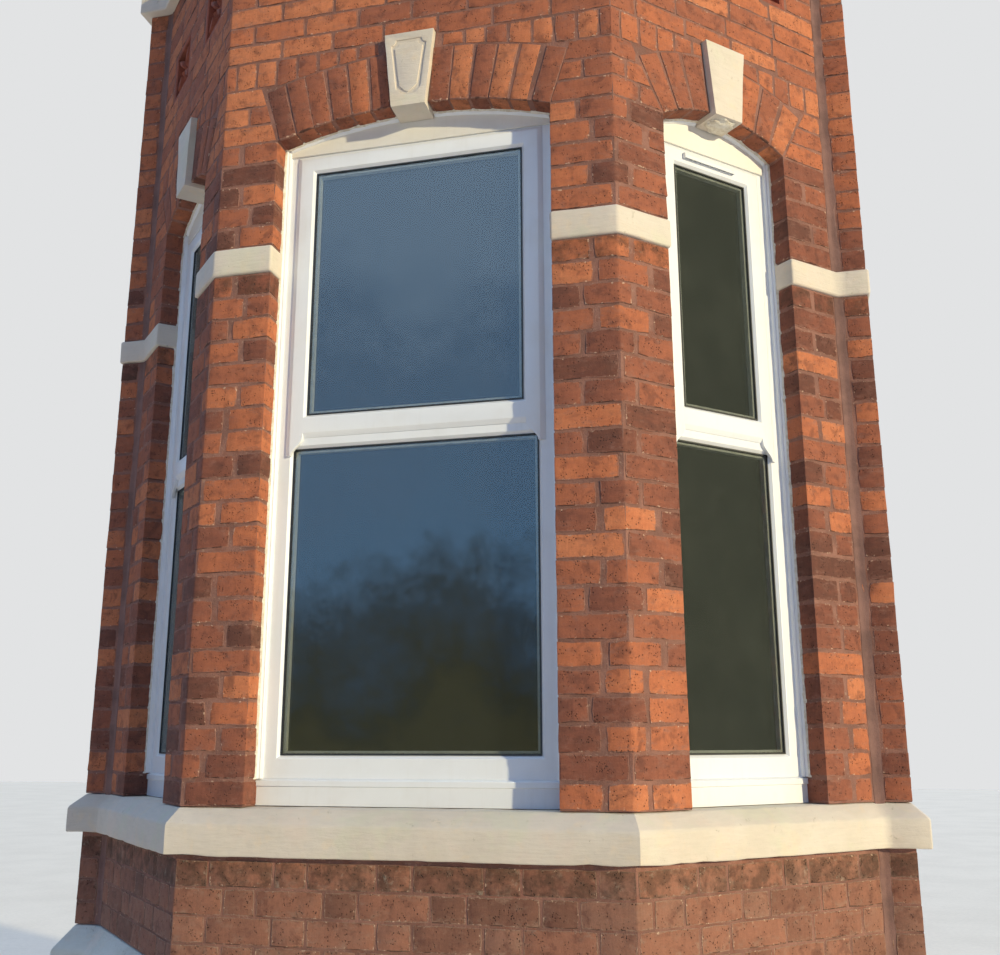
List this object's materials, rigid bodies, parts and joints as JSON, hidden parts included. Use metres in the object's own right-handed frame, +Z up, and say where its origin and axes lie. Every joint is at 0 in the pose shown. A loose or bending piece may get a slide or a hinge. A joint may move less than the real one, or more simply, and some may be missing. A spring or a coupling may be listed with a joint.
{
  "type": "canted bay window",
  "caption": "Ground-floor canted bay: brick piers, stone cill and imposts, segmental arches with keystones, arched double-glazed windows, parapet with a lead flat behind.",
  "frame": {"origin": "middle of the bay's footprint, on the ground", "axes": "+Z up, -Y out of the front window, +Y towards the house wall that the bay stands against"},
  "size_m": [3.426, 0.949, 5.059],
  "materials": {
    "brick": "weathered pressed brick in lime mortar, about one third mortar smears",
    "painted_stone": "cream masonry paint, slightly chalky",
    "plinth_stone": "pale masonry paint, matt",
    "terracotta": "unglazed, matt",
    "white_frame": "smooth satin white",
    "glass": "clear double glazing",
    "plaster": "matt white paint on plaster",
    "softwood": "sawn softwood",
    "floor_wood": "waxed softwood boards",
    "lead": "dull weathered lead"
  },
  "bodies": {
    "root": {"plinth_front": "plinth_stone", "plinth_left": "plinth_stone", "plinth_right": "plinth_stone", "dado_front": "brick", "dado_left": "brick", "dado_right": "brick", "cill_front": "painted_stone", "cill_left": "painted_stone", "cill_right": "painted_stone", "pier_front_left": "brick", "pier_front_right": "brick", "pier_back_left": "brick", "pier_back_right": "brick", "impost_stones": "painted_stone", "upper_wall_front": "brick", "upper_wall_left": "brick", "upper_wall_right": "brick", "arch_front": "brick", "arch_left": "brick", "arch_right": "brick", "keystones": "painted_stone", "terracotta_panels": "terracotta", "string_front": "painted_stone", "string_left": "painted_stone", "string_right": "painted_stone", "frame_front": "white_frame", "frame_left": "white_frame", "frame_right": "white_frame", "top_light_front": "white_frame", "top_light_left": "white_frame", "top_light_right": "white_frame", "glass_front": "glass", "glass_left": "glass", "glass_right": "glass", "architraves": "white_frame", "head_panels": "white_frame", "stub_cills": "white_frame", "trickle_vent": "white_frame", "window_boards": "white_frame", "plaster_lining": "plaster", "floor_boards": "floor_wood", "joists": "softwood", "ceiling": "plaster", "roof_boards": "softwood", "lead_roof": "lead"}
  },
  "joints": []
}
